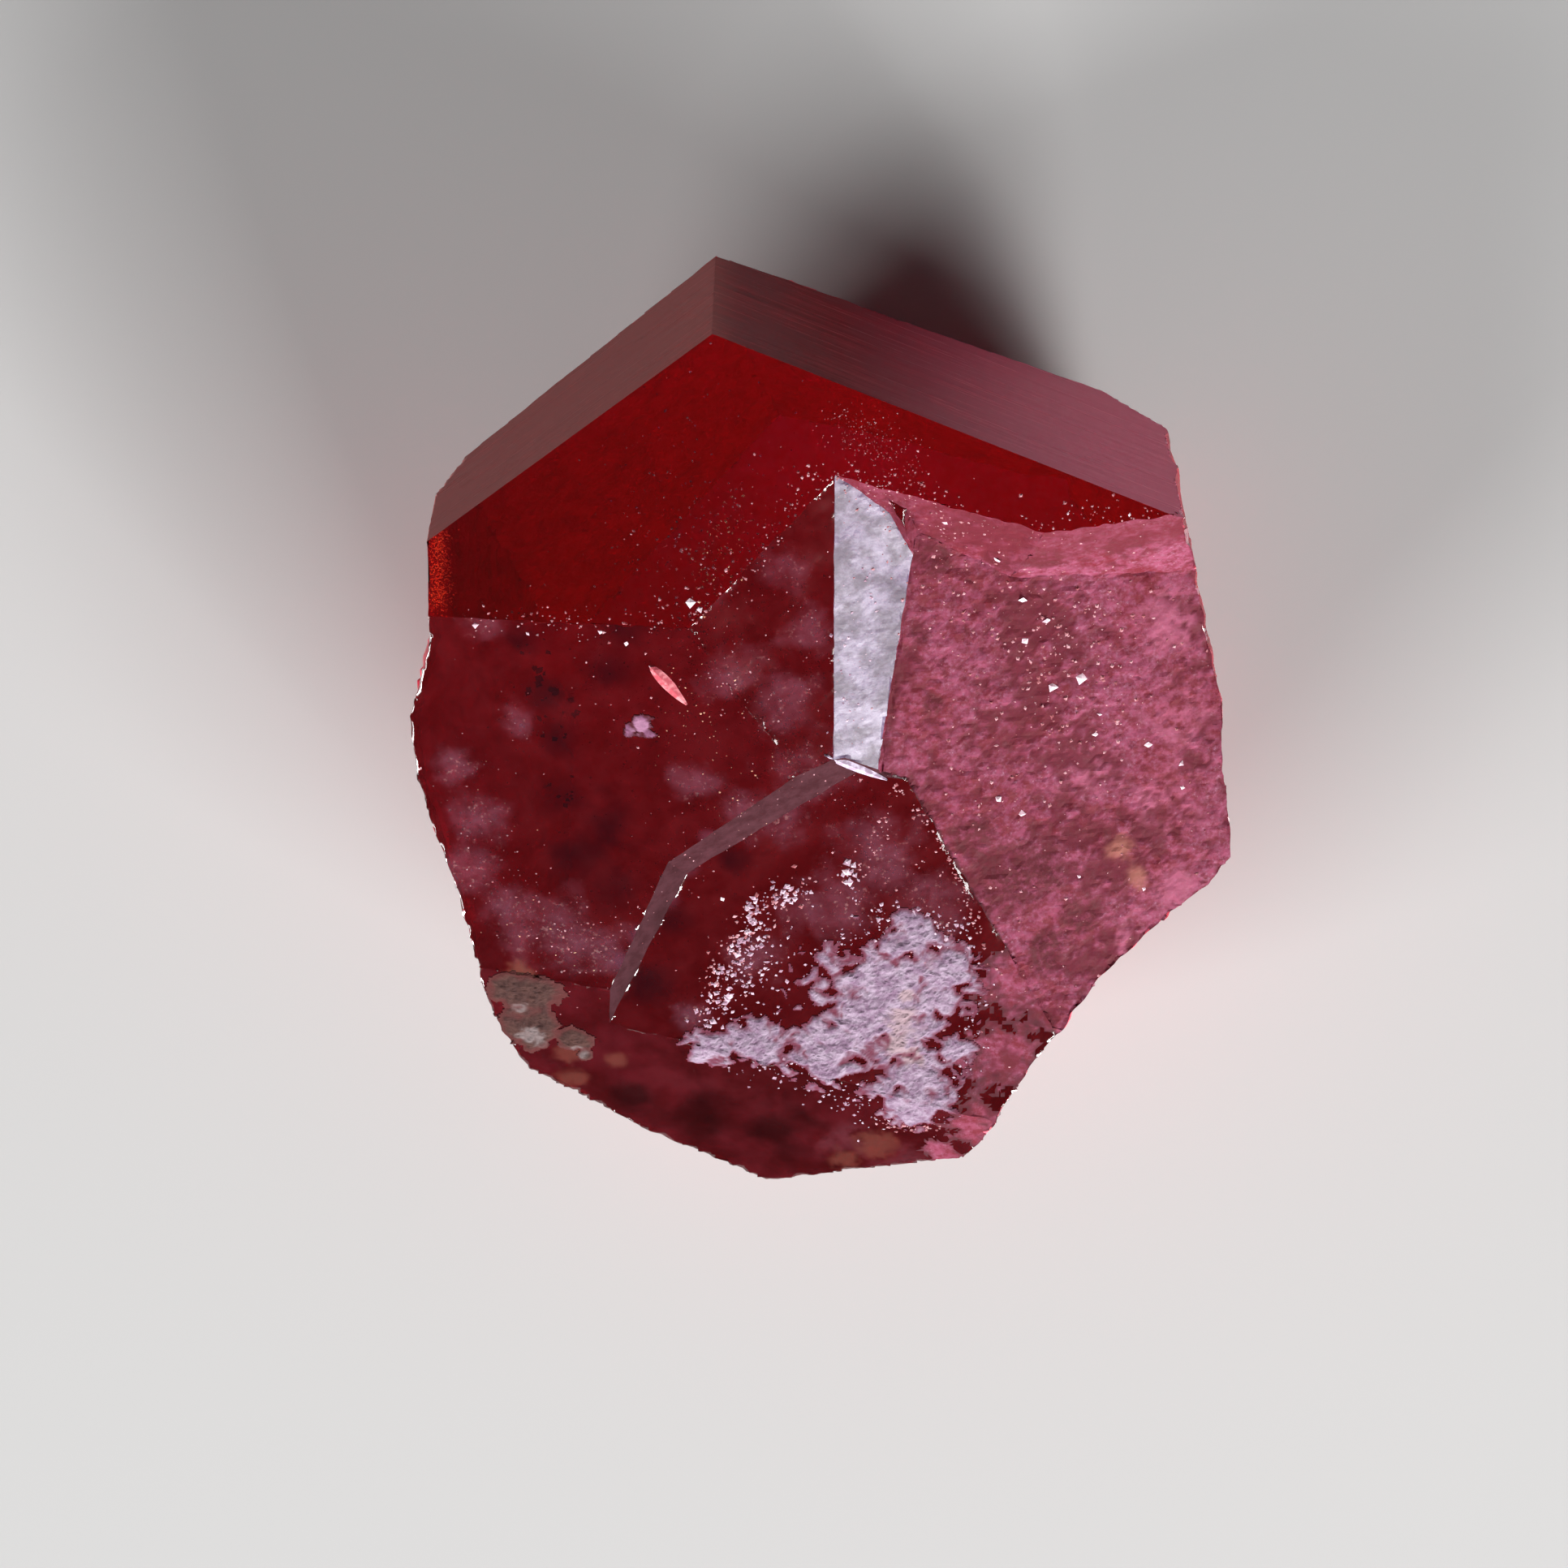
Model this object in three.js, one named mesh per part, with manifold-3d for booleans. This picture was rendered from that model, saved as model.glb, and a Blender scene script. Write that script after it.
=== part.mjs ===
// A raw red beryl crystal: a stubby hexagonal prism, whole at the back and broken at the front.
// Millimetres, +Z up along the crystal's six-fold axis. The crystal lies on the flat parting across its
// root, so Z = 0 is that parting and Z = HEIGHT is the smooth end face.

import * as THREE from "three";
import { mergeVertices } from "three/addons/utils/BufferGeometryUtils.js";
import Module from "manifold-3d";

const wasm = await Module();
wasm.setup();

// Height from the root parting to the end face.
const HEIGHT = 5.0;

// The walls of the prism, counter-clockwise from the back corner, where the two whole faces meet.
const WALL_CORNERS = [
  [-1.10, 4.78],
  [-3.86, 2.72],
  [-3.84, 1.74],
  [-4.06, 0.89],
  [-4.01, 0.14],
  [-3.64, -1.16],
  [-3.36, -2.56],
  [-3.02, -3.30],
  [-1.80, -4.12],
  [-0.60, -4.78],
  [1.42, -4.38],
  [4.06, -1.01],
  [3.90, 0.66],
  [3.44, 2.94],
];

// Each broken surface is a plane: a point it passes through, how steeply it dips from level, and the
// compass direction it dips toward, in degrees counter-clockwise from +X. Past 90 degrees it overhangs.

// Gentle slopes that fall away from the end face.
const LEFT_SHOULDER = { through: [-3.0, 1.94, HEIGHT], dip: 14.5, toward: -93 };
const MIDDLE_SHOULDER = { through: [-0.7, 2.54, HEIGHT], dip: 12, toward: -43 };

// The ragged step down from the end face, in two straight runs.
const UPPER_STEP = { through: [0.0, 3.40, HEIGHT], dip: 45, toward: -106 };
const RIGHT_STEP = { through: [2.6, 2.88, HEIGHT], dip: 50, toward: -81 };

// The sunk right side, and the narrow bright step beside it with the short wall that caps it.
const RIGHT_FLOOR = { through: [0.68, 0.17, 4.26], dip: 14, toward: -33 };
const RIGHT_FLOOR_EDGE = { through: [0.84, 2.69, 4.6], dip: 60, toward: -11 };
const BRIGHT_STEP = { through: [0.12, 1.94, 4.77], dip: 24, toward: -19 };
const BRIGHT_STEP_CAP = { through: [0.40, 3.38, 4.9], dip: 60, toward: -144 };

// The sunk lower side, a wedge that opens downward from the middle of the front.
const LOWER_FLOOR = { through: [0.68, 0.17, 4.25], dip: 13, toward: -82 };
const LOWER_STEPS = [
  { through: [0.03, 0.44, 4.55], dip: 50, toward: -97 },
  { through: [-0.60, 0.02, 4.55], dip: 45, toward: -62 },
  { through: [-1.60, -1.01, 4.2], dip: 45, toward: -36 },
];

// The steeper facet along the lower rim.
const LOWER_RIM = { through: [-0.14, -3.28, 3.49], dip: 29, toward: -97 };

// Overhanging breaks that take the walls in to the smaller root parting.
const ROOT_BREAKS = [
  { through: [-1.10, 4.78, 1.78], dip: 130, toward: 139 },
  { through: [-3.86, 2.72, 3.30], dip: 110, toward: 180 },
  { through: [-1.10, 4.78, 1.78], dip: 128, toward: 76 },
  { through: [3.43, 2.95, 1.52], dip: 126, toward: 36 },
  { through: [3.95, 0.24, 1.35], dip: 124, toward: 4 },
  { through: [2.70, -2.16, 1.75], dip: 132, toward: -42 },
  { through: [0.30, -4.56, 1.40], dip: 120, toward: -92 },
  { through: [-3.00, -3.26, 1.70], dip: 128, toward: -140 },
];

// Shell-shaped scars: spheres that bite into the solid at the lower right corner, under the lower rim,
// low on the left wall and low on the right wall.
const SCARS = [
  { centre: [7.24, -6.16, 2.6], radius: 6.0 },
  { centre: [-2.60, -7.50, 0.8], radius: 3.7 },
  { centre: [-7.90, -1.40, 1.0], radius: 5.0 },
  { centre: [7.20, 1.60, 0.0], radius: 4.0 },
];
const SCAR_SEGMENTS = 60;

// Larger than the crystal, so that one box stands for all the space on one side of a plane.
const REACH = 40;

// A closed three.js geometry as a solid that can be cut.
function solidOf(geometry) {
  const bare = geometry.clone();
  bare.deleteAttribute("normal");
  bare.deleteAttribute("uv");
  const merged = mergeVertices(bare, 1e-5);
  const mesh = new wasm.Mesh({
    numProp: 3,
    vertProperties: new Float32Array(merged.attributes.position.array),
    triVerts: new Uint32Array(merged.index.array),
  });
  return new wasm.Manifold(mesh);
}

// All the space outside a broken surface.
function outside({ through, dip, toward }) {
  const tilt = THREE.MathUtils.degToRad(dip);
  const compass = THREE.MathUtils.degToRad(toward);
  const normal = new THREE.Vector3(
    Math.sin(tilt) * Math.cos(compass),
    Math.sin(tilt) * Math.sin(compass),
    Math.cos(tilt),
  );
  const turn = new THREE.Quaternion().setFromUnitVectors(new THREE.Vector3(0, 0, 1), normal);
  const box = new THREE.BoxGeometry(REACH, REACH, REACH);
  box.translate(0, 0, REACH / 2);
  box.applyQuaternion(turn);
  box.translate(...through);
  return solidOf(box);
}

// The space outside every one of several broken surfaces, which is what sinks a floor between steps.
function outsideAll(surfaces) {
  const [first, ...others] = surfaces.map(outside);
  return others.reduce((space, next) => space.intersect(next), first);
}

// The whole prism before anything broke off.
function wholePrism() {
  const outline = new THREE.Shape(WALL_CORNERS.map(([x, y]) => new THREE.Vector2(x, y)));
  return solidOf(new THREE.ExtrudeGeometry(outline, { depth: HEIGHT, bevelEnabled: false }));
}

function scar({ centre, radius }) {
  const ball = new THREE.SphereGeometry(radius, SCAR_SEGMENTS, SCAR_SEGMENTS / 2);
  ball.translate(...centre);
  return solidOf(ball);
}

function crystalSolid() {
  const breaks = [
    outside(LEFT_SHOULDER),
    outsideAll([MIDDLE_SHOULDER, UPPER_STEP]),
    outsideAll([RIGHT_FLOOR, RIGHT_FLOOR_EDGE, UPPER_STEP]),
    outsideAll([RIGHT_FLOOR, RIGHT_FLOOR_EDGE, RIGHT_STEP]),
    outsideAll([RIGHT_FLOOR, BRIGHT_STEP, BRIGHT_STEP_CAP, UPPER_STEP]),
    outsideAll([LOWER_FLOOR, ...LOWER_STEPS]),
    outside(LOWER_RIM),
    ...ROOT_BREAKS.map(outside),
    ...SCARS.map(scar),
  ];
  return breaks.reduce((solid, cut) => solid.subtract(cut), wholePrism());
}

// The cut solid as a three.js geometry.
function geometryOf(solid) {
  const { vertProperties, triVerts } = solid.getMesh();
  const geometry = new THREE.BufferGeometry();
  geometry.setAttribute("position", new THREE.BufferAttribute(vertProperties, 3));
  geometry.setIndex(new THREE.BufferAttribute(triVerts, 1));
  geometry.computeVertexNormals();
  return geometry;
}

function crystalMaterial() {
  return new THREE.MeshStandardMaterial({
    color: 0x9b1626,
    roughness: 0.2,
    metalness: 0,
    flatShading: true,
  });
}

const crystal = new THREE.Mesh(geometryOf(crystalSolid()), crystalMaterial());
crystal.name = "crystal";

const specimen = new THREE.Group();
specimen.add(crystal);

export default specimen;
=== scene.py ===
import math
import random

import bmesh
import bpy
from mathutils import Matrix, Quaternion, Vector, noise
from mathutils.bvhtree import BVHTree


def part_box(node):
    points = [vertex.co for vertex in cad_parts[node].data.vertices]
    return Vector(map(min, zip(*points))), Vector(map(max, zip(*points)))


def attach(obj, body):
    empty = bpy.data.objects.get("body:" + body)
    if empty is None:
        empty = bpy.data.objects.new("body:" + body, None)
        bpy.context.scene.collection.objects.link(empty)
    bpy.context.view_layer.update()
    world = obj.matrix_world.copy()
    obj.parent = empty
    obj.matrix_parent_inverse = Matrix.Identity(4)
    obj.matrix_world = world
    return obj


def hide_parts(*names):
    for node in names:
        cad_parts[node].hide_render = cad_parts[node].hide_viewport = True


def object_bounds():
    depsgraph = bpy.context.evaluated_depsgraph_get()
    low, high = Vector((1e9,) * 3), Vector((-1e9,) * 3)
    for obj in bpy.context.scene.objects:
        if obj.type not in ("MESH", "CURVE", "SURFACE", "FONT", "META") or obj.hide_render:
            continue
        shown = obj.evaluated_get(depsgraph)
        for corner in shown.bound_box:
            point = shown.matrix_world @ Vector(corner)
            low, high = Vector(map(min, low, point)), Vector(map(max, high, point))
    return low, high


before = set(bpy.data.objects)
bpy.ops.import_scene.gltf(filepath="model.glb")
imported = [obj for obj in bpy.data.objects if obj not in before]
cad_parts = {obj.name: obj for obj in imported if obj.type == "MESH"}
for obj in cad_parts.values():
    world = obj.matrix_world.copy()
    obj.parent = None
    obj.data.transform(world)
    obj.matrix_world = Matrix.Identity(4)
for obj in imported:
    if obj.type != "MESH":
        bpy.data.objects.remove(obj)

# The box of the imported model, kept from before anything else is made.
CAD_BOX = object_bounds()
MM = 0.001

# The photograph's frame and camera: the lens looks down the crystal's axis, tipped towards +Y.
PHOTO_SIZE = 1932
PHOTO_MIDDLE = PHOTO_SIZE / 2
FOCAL_PIXELS = 8000
SENSOR_WIDTH = 36
CAMERA_TIP = math.radians(18)
CAMERA_DISTANCE = 63 * MM
CAMERA_TARGET = Vector((-0.42, 0.285, 5.0)) * MM
CAMERA_RIGHT = Vector((1, 0, 0))
CAMERA_UP = Vector((0, math.cos(CAMERA_TIP), -math.sin(CAMERA_TIP)))
CAMERA_BACK = Vector((0, math.sin(CAMERA_TIP), math.cos(CAMERA_TIP)))
CAMERA_PLACE = CAMERA_TARGET + CAMERA_DISTANCE * CAMERA_BACK

# The flat facets that get a finish of their own, each by its dip and the compass direction it dips toward.
FACETS = {
    "end": (0, 0),
    "left_prism": (90, 126.7),
    "right_prism": (90, 67.8),
    "left_shoulder": (14.5, -93),
    "middle_shoulder": (12, -43),
    "upper_step": (45, -106),
    "right_step": (50, -81),
    "right_floor": (14, -33),
    "right_floor_edge": (60, -11),
    "bright_step": (24, -19),
    "bright_step_cap": (60, -144),
    "lower_floor": (13, -82),
    "lower_step_top": (50, -97),
    "lower_step_middle": (45, -62),
    "lower_step_left": (45, -36),
    "lower_rim": (29, -97),
    "root": (180, 0),
}
FACET_NAMES = list(FACETS) + ["wall", "break"]
SAME_FACET = math.cos(math.radians(1.5))

# Faces that stay in their planes: what touches them moves only within them.
FLAT_FACETS = ("end", "left_prism", "right_prism", "root")
STRIATED_FACETS = ("left_prism", "right_prism")
UNDIVIDED_FACETS = ("end", "root", "wall", "break")

# The broken facets on top rise and sink together by this much, fading out towards the end face.
SWELL_HEIGHT = 0.03 * MM
SWELL_FADE = 0.06 * MM
END_HEIGHT = CAD_BOX[1][2]

# Spacing of the grid that the faces are divided by. The photographed facets are divided once more.
GRID = 0.085 * MM

# Marks on the broken facets. Each blob is the photo pixel of its middle and its radius in millimetres.
CLOUD_BLOBS = (
    (1000, 960, 0.62), (950, 1010, 0.45), (965, 860, 0.42), (1000, 780, 0.32), (900, 830, 0.40), (960, 700, 0.34), (880, 720, 0.30),
    (590, 1010, 0.40), (575, 1070, 0.40), (620, 1120, 0.30), (560, 940, 0.28), (640, 890, 0.26), (600, 760, 0.28),
    (690, 1150, 0.60), (640, 1120, 0.40), (750, 1170, 0.40), (1000, 1120, 0.45), (1085, 1060, 0.65), (1140, 1110, 0.55), (1040, 1110, 0.50),
    (930, 1180, 0.36), (850, 1250, 0.26), (1050, 1410, 0.40), (1120, 1420, 0.30), (860, 960, 0.30), (910, 1000, 0.30),
)
SUGAR_BLOBS = ((1255, 1210, 0.42), (1235, 1300, 0.42), (1200, 1385, 0.32), (1300, 1240, 0.30), (1160, 1420, 0.20))
BAND_BLOBS = ((872, 1030, 0.12), (850, 1070, 0.16), (822, 1110, 0.18), (790, 1150, 0.18), (765, 1185, 0.14))
DARK_BLOBS = (
    (674, 855, 0.34), (690, 910, 0.34), (705, 980, 0.50), (715, 1050, 0.50), (760, 1090, 0.40), (745, 1020, 0.45),
    (690, 740, 0.40), (770, 770, 0.40), (750, 830, 0.34), (640, 790, 0.30), (830, 1130, 0.34), (800, 1210, 0.34),
    (1060, 1030, 0.20), (860, 1370, 0.50), (960, 1390, 0.50), (780, 1350, 0.34), (900, 1060, 0.24),
    (1250, 1085, 0.55), (1200, 1030, 0.28), (1290, 1170, 0.34), (1330, 1130, 0.28), (1150, 690, 0.22),
    (1230, 695, 0.26), (1165, 655, 0.30), (1290, 690, 0.24), (1130, 780, 0.16), (1150, 870, 0.14),
)
PALE_BLOBS = (
    (1440, 760, 0.45), (1455, 880, 0.50), (1440, 990, 0.55), (1450, 1090, 0.45), (1390, 1160, 0.35),
    (1340, 950, 0.35), (1290, 1280, 0.30), (1230, 1380, 0.30),
)
RUSTY_BLOBS = (
    (1380, 1045, 0.20), (1402, 1082, 0.16), (640, 1205, 0.22), (700, 1295, 0.22), (760, 1306, 0.16),
    (1080, 1410, 0.30), (1040, 1428, 0.22), (705, 1328, 0.20),
)

# Crusts of white and beige grains, in the same form.
WHITE_CRUST_BLOBS = (
    (1090, 1235, 0.80), (1125, 1330, 0.48), (1020, 1290, 0.45), (935, 1285, 0.32), (875, 1290, 0.25),
    (1165, 1195, 0.35), (1125, 1150, 0.26), (1175, 1290, 0.20), (1120, 1375, 0.22),
)
CREAM_STREAK_BLOBS = ((1118, 1225, 0.12), (1112, 1255, 0.20), (1104, 1285, 0.22), (1122, 1300, 0.16))
LILAC_BLOBS = ((790, 893, 0.12), (776, 899, 0.07), (800, 904, 0.07))
PALE_BEIGE_BLOBS = ((655, 1275, 0.16), (680, 1290, 0.14), (712, 1295, 0.12), (640, 1240, 0.10))
BEIGE_CRUST_BLOBS = ((650, 1265, 0.34), (705, 1280, 0.20), (632, 1220, 0.28), (665, 1225, 0.25), (720, 1300, 0.10))


# Places and directions

def direction_of(dip, toward):
    """The outward normal of a facet that dips by so much from level, toward that compass direction."""
    tilt = math.radians(dip)
    compass = math.radians(toward)
    return Vector((math.sin(tilt) * math.cos(compass), math.sin(tilt) * math.sin(compass), math.cos(tilt)))


FACET_NORMALS = {name: direction_of(*angles) for name, angles in FACETS.items()}


def facet_of(normal):
    """The name of the facet that a face belongs to, or a wall or a break if it is none of them."""
    name = max(FACET_NORMALS, key=lambda each: FACET_NORMALS[each].dot(normal))
    if FACET_NORMALS[name].dot(normal) > SAME_FACET:
        return name
    return "wall" if abs(normal.z) < 0.02 else "break"


def on_crystal(tree, px, py):
    """The point and normal of the crystal's surface that shows at a pixel of the photograph."""
    ray = CAMERA_RIGHT * (px - PHOTO_MIDDLE) + CAMERA_UP * (PHOTO_MIDDLE - py) - CAMERA_BACK * FOCAL_PIXELS
    point, normal, _, _ = tree.ray_cast(CAMERA_PLACE, ray.normalized())
    return point, normal


def placed_blobs(tree, blobs):
    """The blobs as points on the crystal with radii in metres."""
    return [(on_crystal(tree, px, py)[0], radius * MM) for px, py, radius in blobs]


# Noise

def swell(p, size, octaves=3):
    """Smooth noise between about -1 and 1 whose features are about that many metres across."""
    return noise.fractal(p / size, 0.9, 2.1, octaves)


def grains(p, size):
    """0 at the middle of a grain and about 1 where grains meet, for grains of about that size."""
    distances, _ = noise.voronoi(p / size)
    return min(1.0, distances[0] * 1.6)


def gaps(p, size, width):
    """1 in the gaps between plates of about that size and 0 on the plates."""
    distances, _ = noise.voronoi(p / size)
    share = min(1.0, max(0.0, (distances[1] - distances[0]) / width))
    return 1 - share * share * (3 - 2 * share)


def inside_blobs(p, blobs, ragged, size):
    """1 at the middle of a blob, 0 at its ragged edge and less than 0 outside it."""
    best = max(1 - (p - middle).length / radius for middle, radius in blobs)
    if best < -1:
        return -1
    bent = p + noise.noise_vector(p / size) * size / 2
    return best + ragged * swell(bent, size, 5)


# The crystal's mesh

def cut_faces(bm, axis, place):
    normal = Vector((0, 0, 0))
    normal[axis] = 1
    geometry = bm.verts[:] + bm.edges[:] + bm.faces[:]
    bmesh.ops.bisect_plane(bm, geom=geometry, dist=1e-9, plane_co=place, plane_no=normal)


def divided_crystal():
    """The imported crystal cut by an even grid, so that its faces are small and its edges stay sharp."""
    bm = bmesh.new()
    bm.from_mesh(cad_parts["crystal"].data)
    bmesh.ops.remove_doubles(bm, verts=bm.verts, dist=0.001 * MM)
    bmesh.ops.dissolve_limit(bm, angle_limit=math.radians(0.5), verts=bm.verts, edges=bm.edges)
    facet = bm.faces.layers.int.new("facet")
    for face in bm.faces:
        face[facet] = FACET_NAMES.index(facet_of(face.normal))
    low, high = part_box("crystal")
    for axis in range(3):
        for i in range(1, int((high[axis] - low[axis]) / GRID) + 1):
            place = Vector(low)
            place[axis] = low[axis] + (i - 0.37) * GRID
            cut_faces(bm, axis, place)
    bmesh.ops.triangulate(bm, faces=bm.faces)
    coarse = [FACET_NAMES.index(name) for name in UNDIVIDED_FACETS]
    fine_edges = {edge for face in bm.faces if face[facet] not in coarse for edge in face.edges}
    bmesh.ops.subdivide_edges(bm, edges=list(fine_edges), cuts=1)
    bmesh.ops.triangulate(bm, faces=bm.faces)
    return bm


def sugar(p):
    """The sugary floor: tilted plates with gaps between them. Gives the height in mm and how deep in a gap."""
    bent = p + 0.04 * MM * noise.noise_vector(p / (0.14 * MM))
    plates = gaps(bent, 0.17 * MM, 0.5)
    pits = 0.5 + 0.9 * swell(p, 0.16 * MM)
    open_ground = 0.6 * swell(p + Vector((3, 1, 2)) * MM, 0.9 * MM)
    deep = min(1.0, max(0.0, 0.4 * plates + 0.55 * pits + open_ground - 0.02))
    height = 0.008 * swell(bent, 0.12 * MM) - 0.022 * deep
    return height, deep


def relief(facet, p):
    """How far a broken facet's surface stands out at p in millimetres, and how deep it is in a gap, 0 to 1."""
    if facet == "right_floor":
        return sugar(p)
    if facet in ("upper_step", "right_step", "right_floor_edge", "bright_step_cap"):
        return sugar(p)
    if facet == "bright_step":
        return 0.003 * swell(p, 0.35 * MM, 2) - 0.002 * gaps(p, 0.12 * MM, 0.5), 0.5
    if facet in ("left_shoulder", "middle_shoulder"):
        deep = gaps(p + 0.1 * MM * noise.noise_vector(p / (0.4 * MM)), 0.5 * MM, 0.25)
        return 0.0012 * swell(p, 0.15 * MM) - 0.002 * deep, deep
    if facet == "lower_floor":
        return 0.0015 * swell(p, 0.15 * MM), sugar(p)[1]
    if facet.startswith("lower_step"):
        return 0.004 * swell(p, 0.2 * MM), 0.5
    if facet == "lower_rim":
        return 0.0008 * swell(p, 0.15 * MM), 0.5
    if facet == "wall":
        ledges = 0.03 * noise.noise(Vector((p.x / 2.5, p.y / 2.5, p.z / 0.25)) / MM)
        deep = grains(p, 0.3 * MM)
        return ledges + 0.05 * swell(p, 0.7 * MM) - 0.04 * deep, deep
    if facet == "break":
        deep = grains(p, 0.3 * MM)
        return 0.08 * swell(p, 1.1 * MM) - 0.05 * deep, deep
    return 0.0, 0.0


def striae(p):
    """The growth lines that run round the prism, as a height in millimetres."""
    return 0.004 * noise.noise(Vector((0, 0, p.z / (0.13 * MM)))) - 0.003 * abs(swell(p, 0.9 * MM))


def broken_move(vert, normals, pit):
    """How a vertex moves for the relief of the facets that it touches. What touches a flat face stays in it."""
    move = Vector((0, 0, 0))
    rough = [name for name in normals if name not in FLAT_FACETS]
    for name in rough:
        height, deep = relief(name, vert.co)
        move += normals[name] * height * MM / len(rough)
        vert[pit] = max(vert[pit], deep)
    if any(name not in ("wall", "break") for name in rough):
        fade = min(1.0, (END_HEIGHT - vert.co.z) / SWELL_FADE)
        move.z += fade * SWELL_HEIGHT * swell(vert.co, 1.2 * MM, 2)
    if len(normals) > 1 and rough:
        ragged = noise.noise_vector(vert.co / (0.16 * MM)) + noise.noise_vector(vert.co / (0.45 * MM))
        straight = "bright_step" in normals or any(name.startswith("lower_step") for name in normals)
        move += ragged * (0.008 if straight else 0.022) * MM
    flats = [normals[name] for name in normals if name in FLAT_FACETS]
    if len(flats) == 1:
        move -= flats[0] * move.dot(flats[0])
    elif len(flats) > 1:
        along = flats[0].cross(flats[1])
        move = along * move.dot(along) if along.length > 0.1 else Vector((0, 0, 0))
    for name in normals:
        if name in STRIATED_FACETS and "root" not in normals:
            move -= normals[name] * (0.004 * MM - striae(vert.co) * MM)
    return move


def shaped_crystal(bm):
    """Moves every vertex to the relief of its facets, and keeps it inside the crystal's box."""
    facet = bm.faces.layers.int["facet"]
    pit = bm.verts.layers.float.new("pit")
    moves = []
    for vert in bm.verts:
        normals = {FACET_NAMES[face[facet]]: face.normal for face in vert.link_faces}
        moves.append(broken_move(vert, normals, pit))
    low, high = CAD_BOX
    for vert, move in zip(bm.verts, moves):
        vert.co += move
        for axis in range(3):
            vert.co[axis] = min(max(vert.co[axis], low[axis]), high[axis])


def add_mark(bm, name, blobs, ragged, size):
    """Writes on every vertex how far inside the blobs it is, 0 to 1."""
    layer = bm.verts.layers.float.new(name)
    for vert in bm.verts:
        vert[layer] = max(0.0, inside_blobs(vert.co, blobs, ragged, size))


# Materials

class Nodes:
    """A short way to write a material's node tree."""

    def __init__(self, name):
        self.material = bpy.data.materials.new(name)
        self.material.use_nodes = True
        self.tree = self.material.node_tree
        self.shader = self.tree.nodes["Principled BSDF"]
        self.out = self.tree.nodes["Material Output"]
        self.place = self.tree.nodes.new("ShaderNodeTexCoord").outputs["Object"]

    def node(self, kind, **settings):
        made = self.tree.nodes.new(kind)
        for key, value in settings.items():
            setattr(made, key, value)
        return made

    def link(self, source, target):
        self.tree.links.new(source, target)

    def stretched(self, x, y, z):
        """The object's coordinates multiplied along each axis."""
        made = self.node("ShaderNodeVectorMath", operation="MULTIPLY")
        self.link(self.place, made.inputs[0])
        made.inputs[1].default_value = (x, y, z)
        return made.outputs["Vector"]

    def noise(self, size, detail=4, roughness=0.6, distortion=0.0, place=None):
        made = self.node("ShaderNodeTexNoise")
        self.link(place or self.place, made.inputs["Vector"])
        made.inputs["Scale"].default_value = 1 / size
        made.inputs["Detail"].default_value = detail
        made.inputs["Roughness"].default_value = roughness
        made.inputs["Distortion"].default_value = distortion
        return made.outputs["Fac"]

    def along(self, axis):
        """The object's coordinate along X, Y or Z."""
        made = self.node("ShaderNodeSeparateXYZ")
        self.link(self.place, made.inputs[0])
        return made.outputs[axis]

    def attribute(self, name):
        return self.node("ShaderNodeAttribute", attribute_name=name).outputs["Fac"]

    def ramp(self, value, low, high, start=0.0, end=1.0):
        made = self.node("ShaderNodeMapRange", interpolation_type="SMOOTHSTEP")
        self.link(value, made.inputs["Value"])
        made.inputs["From Min"].default_value = low
        made.inputs["From Max"].default_value = high
        made.inputs["To Min"].default_value = start
        made.inputs["To Max"].default_value = end
        return made.outputs["Result"]

    def mix(self, share, a, b):
        """A colour between a and b, each a colour or a socket."""
        made = self.node("ShaderNodeMix", data_type="RGBA")
        if isinstance(share, bpy.types.NodeSocket):
            self.link(share, made.inputs["Factor"])
        else:
            made.inputs["Factor"].default_value = share
        for value, socket in ((a, made.inputs[6]), (b, made.inputs[7])):
            if isinstance(value, bpy.types.NodeSocket):
                self.link(value, socket)
            else:
                socket.default_value = (*value, 1)
        return made.outputs[2]

    def product(self, a, b):
        made = self.node("ShaderNodeMath", operation="MULTIPLY")
        self.link(a, made.inputs[0])
        self.link(b, made.inputs[1])
        return made.outputs[0]

    def bump(self, height, strength, distance):
        made = self.node("ShaderNodeBump")
        self.link(height, made.inputs["Height"])
        made.inputs["Strength"].default_value = strength
        made.inputs["Distance"].default_value = distance
        self.link(made.outputs["Normal"], self.shader.inputs["Normal"])

    def set(self, **values):
        for key, value in values.items():
            socket = self.shader.inputs[key.replace("_", " ")]
            if isinstance(value, bpy.types.NodeSocket):
                self.link(value, socket)
            elif socket.type == "RGBA":
                socket.default_value = (*value, 1)
            else:
                socket.default_value = value


# What beryl does to light: its refraction, and how strongly each metre of it takes red, green and blue.
BERYL_IOR = 1.57
ABSORBED_COLOUR = (0.998, 0.10, 0.75)
ABSORBED_DENSITY = 620


def beryl(name, clearness):
    """A Principled material filled with the crystal's absorption."""
    n = Nodes(name)
    n.set(IOR=BERYL_IOR, Transmission_Weight=clearness)
    inside = n.node("ShaderNodeVolumeAbsorption")
    inside.inputs["Color"].default_value = (*ABSORBED_COLOUR, 1)
    inside.inputs["Density"].default_value = ABSORBED_DENSITY
    n.link(inside.outputs["Volume"], n.out.inputs["Volume"])
    return n


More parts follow.
